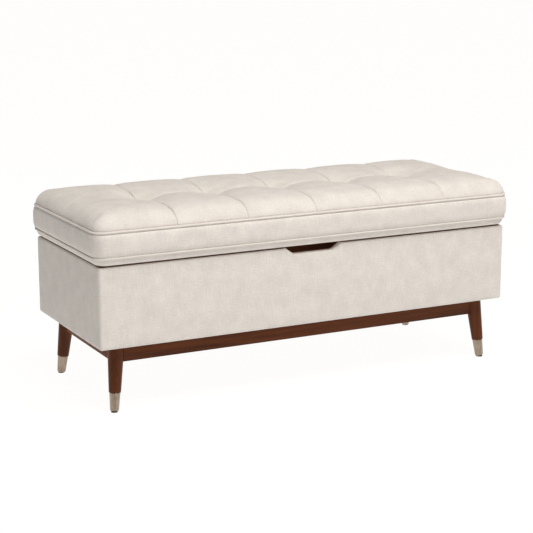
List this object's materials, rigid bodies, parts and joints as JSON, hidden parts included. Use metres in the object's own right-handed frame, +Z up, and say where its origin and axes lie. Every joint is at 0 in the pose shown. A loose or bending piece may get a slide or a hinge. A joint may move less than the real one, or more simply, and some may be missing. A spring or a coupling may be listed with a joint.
{
  "type": "storage ottoman",
  "caption": "Upholstered storage bench ottoman: padded box with a finger notch, hinged biscuit-tufted lid on folding stays, splayed wooden legs with metal ferrules.",
  "frame": {"origin": "on the floor, under the middle of the box, midway between the four feet", "axes": "+X along the front to the right, +Y from the front to the back (the front faces -Y), +Z up"},
  "size_m": [1.128, 0.444, 0.472],
  "materials": {
    "oatmeal_cloth": "matte",
    "foam": "matte",
    "wadding": "matte",
    "twine": "matte",
    "brown_lining": "matte",
    "black_cloth": "matte",
    "plywood": "matte",
    "plain_wood": "matte",
    "walnut": "satin",
    "champagne_metal": "satin",
    "plated_steel": "satin",
    "nylon": "matte",
    "rubber": "matte"
  },
  "bodies": {
    "box": {"front_rail": "walnut", "back_rail": "walnut", "left_rail": "walnut", "right_rail": "walnut", "centre_rail": "walnut", "corner_blocks": "plain_wood", "leg_front_left": "walnut", "leg_front_right": "walnut", "leg_back_left": "walnut", "leg_back_right": "walnut", "ferrule_front_left": "champagne_metal", "ferrule_front_right": "champagne_metal", "ferrule_back_left": "champagne_metal", "ferrule_back_right": "champagne_metal", "foot_glides": "nylon", "hanger_bolts": "plated_steel", "bolt_nuts": "plated_steel", "frame_screws": "plated_steel", "front_panel": "plywood", "back_panel": "plywood", "left_panel": "plywood", "right_panel": "plywood", "bottom_panel": "plywood", "panel_screws": "plated_steel", "front_padding": "foam", "back_padding": "foam", "left_padding": "foam", "right_padding": "foam", "box_cover": "oatmeal_cloth", "storage_lining": "brown_lining", "dust_cover": "black_cloth", "lid_bumpers": "rubber", "box_hardware_screws": "plated_steel", "hinge_box_leaf_left": "plated_steel", "hinge_box_leaf_right": "plated_steel", "hinge_pins": "plated_steel", "stay_box_plates": "plated_steel", "stay_box_rivets": "plated_steel"},
    "lid": {"lid_board": "plywood", "seat_foam": "foam", "top_batting": "wadding", "top_cover": "oatmeal_cloth", "boxing_band": "oatmeal_cloth", "lip_band": "oatmeal_cloth", "top_welt": "oatmeal_cloth", "bottom_welt": "oatmeal_cloth", "lid_lining": "brown_lining", "tuft_ties": "twine", "lid_hardware_screws": "plated_steel", "hinge_lid_leaf_left": "plated_steel", "hinge_lid_leaf_right": "plated_steel", "stay_lid_brackets": "plated_steel", "stay_lid_rivets": "plated_steel"},
    "stay_arm_left": {"stay_arm_left": "plated_steel"},
    "stay_link_left": {"stay_link_left": "plated_steel", "knee_rivet_left": "plated_steel"},
    "stay_arm_right": {"stay_arm_right": "plated_steel"},
    "stay_link_right": {"stay_link_right": "plated_steel", "knee_rivet_right": "plated_steel"}
  },
  "joints": [
    {"name": "lid_hinge", "type": "hinge", "parent": "box", "child": "lid", "pos_m": [0, 0.212, 0.349], "axis": [-1, 0, 0], "range_deg": [0, 95]},
    {"name": "stay_arm_left_pivot", "type": "hinge", "parent": "box", "child": "stay_arm_left", "pos_m": [-0.5237, 0.172, 0.289], "axis": [-1, 0, 0], "range_deg": [0, 95]},
    {"name": "stay_link_left_pivot", "type": "hinge", "parent": "lid", "child": "stay_link_left", "pos_m": [-0.5214, 0.022, 0.335], "axis": [-1, 0, 0], "range_deg": [-95, 0]},
    {"name": "stay_arm_right_pivot", "type": "hinge", "parent": "box", "child": "stay_arm_right", "pos_m": [0.5237, 0.172, 0.289], "axis": [-1, 0, 0], "range_deg": [0, 95]},
    {"name": "stay_link_right_pivot", "type": "hinge", "parent": "lid", "child": "stay_link_right", "pos_m": [0.5214, 0.022, 0.335], "axis": [-1, 0, 0], "range_deg": [-95, 0]}
  ],
  "couplings": [
    {"joint": "stay_arm_left_pivot", "follows": "lid_hinge", "ratio": 1},
    {"joint": "stay_link_left_pivot", "follows": "lid_hinge", "ratio": -1},
    {"joint": "stay_arm_right_pivot", "follows": "lid_hinge", "ratio": 1},
    {"joint": "stay_link_right_pivot", "follows": "lid_hinge", "ratio": -1}
  ]
}
